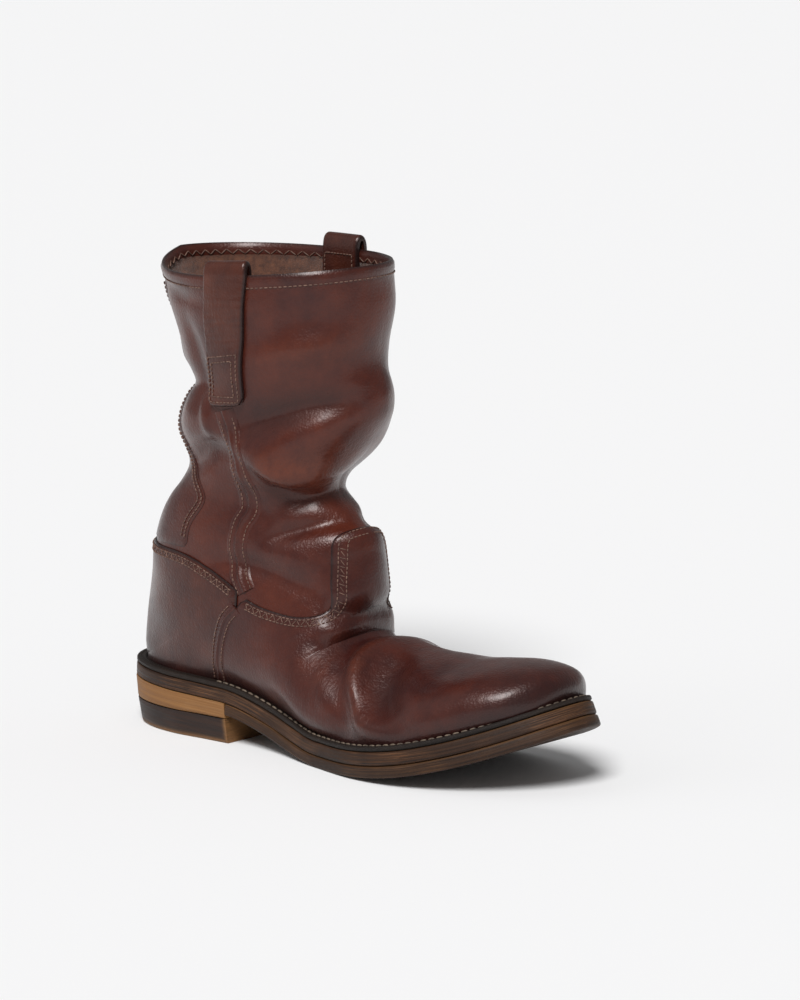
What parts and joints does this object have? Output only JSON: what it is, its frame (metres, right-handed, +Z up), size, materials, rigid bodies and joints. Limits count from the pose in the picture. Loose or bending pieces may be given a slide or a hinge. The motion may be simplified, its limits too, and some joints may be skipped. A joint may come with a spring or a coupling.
{
  "type": "boot",
  "caption": "Slouched mid-calf pull-on leather boot for a right foot, hollow and open at the collar, with outside pull straps and a low stacked heel.",
  "frame": {"origin": "on the floor, under the middle of the heel", "axes": "+X from the heel to the toe, +Y to the inner (medial) side, +Z up"},
  "size_m": [0.3013, 0.1101, 0.27],
  "materials": {
    "upper_leather": "satin dark reddish brown, waxed",
    "overlay_leather": "satin dark reddish brown, burnished",
    "seam_leather": "satin dark reddish brown",
    "strap_leather": "satin reddish brown, dark cut edges",
    "welt_leather": "near black, burnished",
    "sole_leather": "brown cut edge, waxed",
    "insole_leather": "matte tan",
    "heel_block_leather": "dark brown, worn",
    "heel_wedge_leather": "light golden brown stacked leather"
  },
  "bodies": {
    "root": {"upper": "upper_leather", "vamp": "overlay_leather", "counter": "overlay_leather", "side_seam_outer": "seam_leather", "side_seam_inner": "seam_leather", "back_stay": "seam_leather", "strap_outer": "strap_leather", "strap_inner": "strap_leather", "welt": "welt_leather", "midsole": "sole_leather", "outsole": "sole_leather", "insole": "insole_leather", "heel_block": "heel_block_leather", "heel_wedge": "heel_wedge_leather"}
  },
  "joints": []
}
